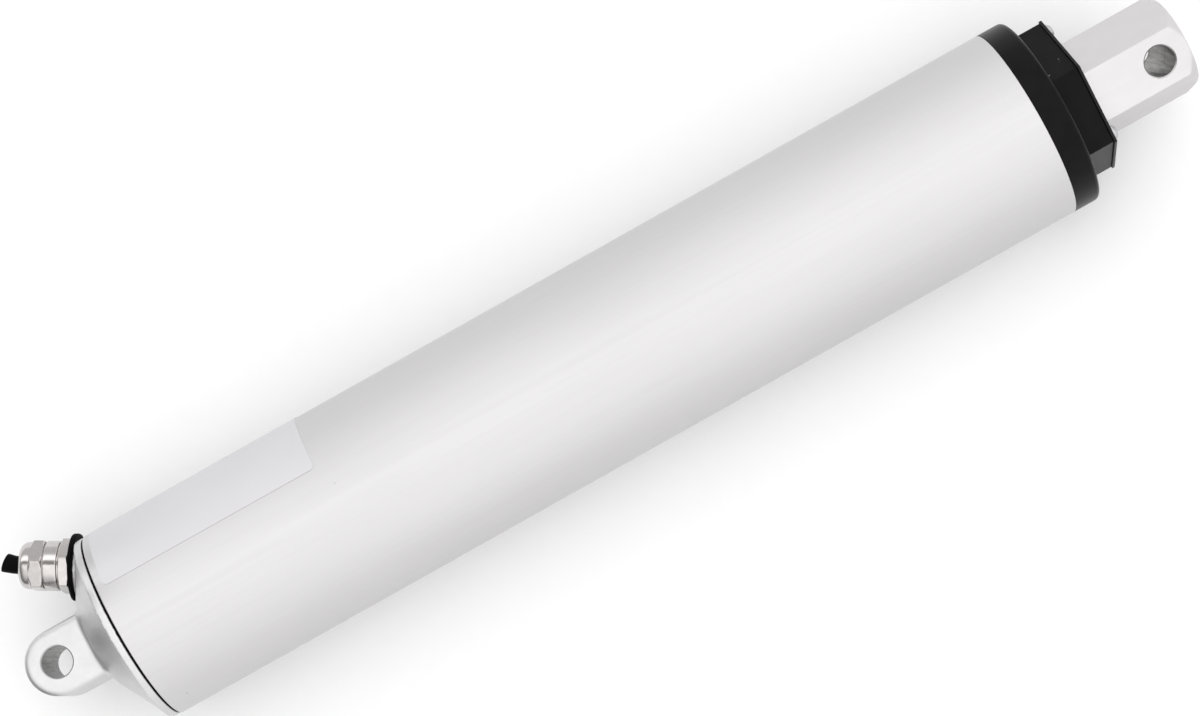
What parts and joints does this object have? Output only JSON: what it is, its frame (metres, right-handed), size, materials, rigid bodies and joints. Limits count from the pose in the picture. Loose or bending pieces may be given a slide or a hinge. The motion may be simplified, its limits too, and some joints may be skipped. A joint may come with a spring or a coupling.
{
  "type": "linear actuator",
  "caption": "Tubular electric linear actuator: geared motor and lead screw in line, a hexagonal push rod with a pin eye at the front, and a lug with a pin eye and a cable gland at the rear.",
  "frame": {"origin": "centre of the rear eye's pin hole", "axes": "+X is the stroke direction, towards the rod's eye; +Z is the axis of the rear pin; +Y is the side that the cable gland leans to"},
  "size_m": [0.4214, 0.0735, 0.065],
  "materials": {
    "anodised_tube": "satin clear anodised, fine extrusion grain",
    "cast_aluminium": "die cast, tumbled, light peel texture",
    "rod_aluminium": "satin anodised, fine lengthwise grain",
    "machined_aluminium": "turned",
    "nickel_plate": "bright nickel plated brass",
    "label_foil": "matt silver-white foil, blank",
    "black_rubber": "matt",
    "cable_sheath": "matt black sheath",
    "core_insulation": "smooth insulation",
    "terminal_plastic": "moulded",
    "board_laminate": "solder resist",
    "brown_plastic": "moulded",
    "white_plastic": "moulded",
    "cage_plastic": "moulded",
    "black_nylon": "moulded, fine eroded texture",
    "black_plate": "semi-gloss black",
    "zinc_steel": "bright zinc plated",
    "steel": "ground",
    "spring_steel": "blackened",
    "bearing_steel": "polished",
    "lamination": "stacked sheet edges",
    "ferrite": "matt sintered",
    "carbon": "matt graphite",
    "copper": "enamelled copper",
    "bronze": "sintered bronze"
  },
  "bodies": {
    "housing": {"rear_cap": "cast_aluminium", "rear_gasket": "black_rubber", "outer_tube": "anodised_tube", "rear_o_ring": "black_rubber", "rating_label": "label_foil", "gland_washer": "black_rubber", "gland_body": "nickel_plate", "gland_seal": "black_rubber", "gland_nut": "nickel_plate", "cable_jacket": "cable_sheath", "cable_cores": "core_insulation", "terminal_block": "terminal_plastic", "circuit_board": "board_laminate", "board_screws": "zinc_steel", "motor_leads": "core_insulation", "sensor_lead": "cable_sheath", "limit_sensors": "board_laminate", "motor_end_bell": "zinc_steel", "brush_holders": "brown_plastic", "brushes": "carbon", "brush_springs": "copper", "motor_can": "zinc_steel", "magnets": "ferrite", "motor_flange": "zinc_steel", "motor_bushes": "bronze", "ring_gear": "steel", "bearing_block": "machined_aluminium", "bearing_clip": "spring_steel", "bearing_outer_rings": "bearing_steel", "rear_buffer": "black_rubber", "front_sleeve": "machined_aluminium", "front_buffer": "black_rubber", "rod_guide": "bronze", "rod_wiper": "black_rubber", "front_cap": "black_nylon", "front_o_ring": "black_rubber", "cover_plate": "black_plate", "cover_screws": "zinc_steel"},
    "rotor": {"rotor_shaft": "steel", "rotor_core": "lamination", "rotor_windings": "copper", "commutator": "copper", "sun_gear": "steel"},
    "screw": {"planet_carrier": "steel", "planet_pins": "steel", "lead_screw": "steel", "screw_locknut": "spring_steel", "bearing_inner_rings": "bearing_steel", "screw_end_bush": "white_plastic"},
    "planet_1": {"planet_gear_1": "steel"},
    "planet_2": {"planet_gear_2": "steel"},
    "planet_3": {"planet_gear_3": "steel"},
    "ball_set": {"bearing_balls": "bearing_steel", "bearing_cages": "cage_plastic"},
    "rod_unit": {"rod": "rod_aluminium", "drive_nut": "bronze", "piston": "white_plastic", "piston_magnet": "ferrite"}
  },
  "joints": [
    {"name": "motor_spin", "type": "hinge", "parent": "housing", "child": "rotor", "pos_m": [0.06, 0, 0], "axis": [-1, 0, 0], "range_deg": [0, 48000]},
    {"name": "screw_spin", "type": "hinge", "parent": "housing", "child": "screw", "pos_m": [0.18, 0, 0], "axis": [-1, 0, 0], "range_deg": [0, 12000]},
    {"name": "planet_1_spin", "type": "hinge", "parent": "screw", "child": "planet_1", "pos_m": [0.142, 0, -0.015], "axis": [-1, 0, 0], "range_deg": [-36000, 0]},
    {"name": "planet_2_spin", "type": "hinge", "parent": "screw", "child": "planet_2", "pos_m": [0.142, 0.01299, 0.0075], "axis": [-1, 0, 0], "range_deg": [-36000, 0]},
    {"name": "planet_3_spin", "type": "hinge", "parent": "screw", "child": "planet_3", "pos_m": [0.142, -0.01299, 0.0075], "axis": [-1, 0, 0], "range_deg": [-36000, 0]},
    {"name": "ball_set_roll", "type": "hinge", "parent": "housing", "child": "ball_set", "pos_m": [0.18, 0, 0], "axis": [-1, 0, 0], "range_deg": [0, 4380]},
    {"name": "rod_slide", "type": "slide", "parent": "housing", "child": "rod_unit", "axis": [1, 0, 0], "range_m": [0, 0.1]}
  ],
  "couplings": [
    {"joint": "screw_spin", "follows": "motor_spin", "ratio": 0.25},
    {"joint": "planet_1_spin", "follows": "motor_spin", "ratio": -0.75},
    {"joint": "planet_2_spin", "follows": "motor_spin", "ratio": -0.75},
    {"joint": "planet_3_spin", "follows": "motor_spin", "ratio": -0.75},
    {"joint": "ball_set_roll", "follows": "motor_spin", "ratio": 0.09114},
    {"joint": "rod_slide", "follows": "motor_spin", "m_per_rad": 0.00011937}
  ]
}
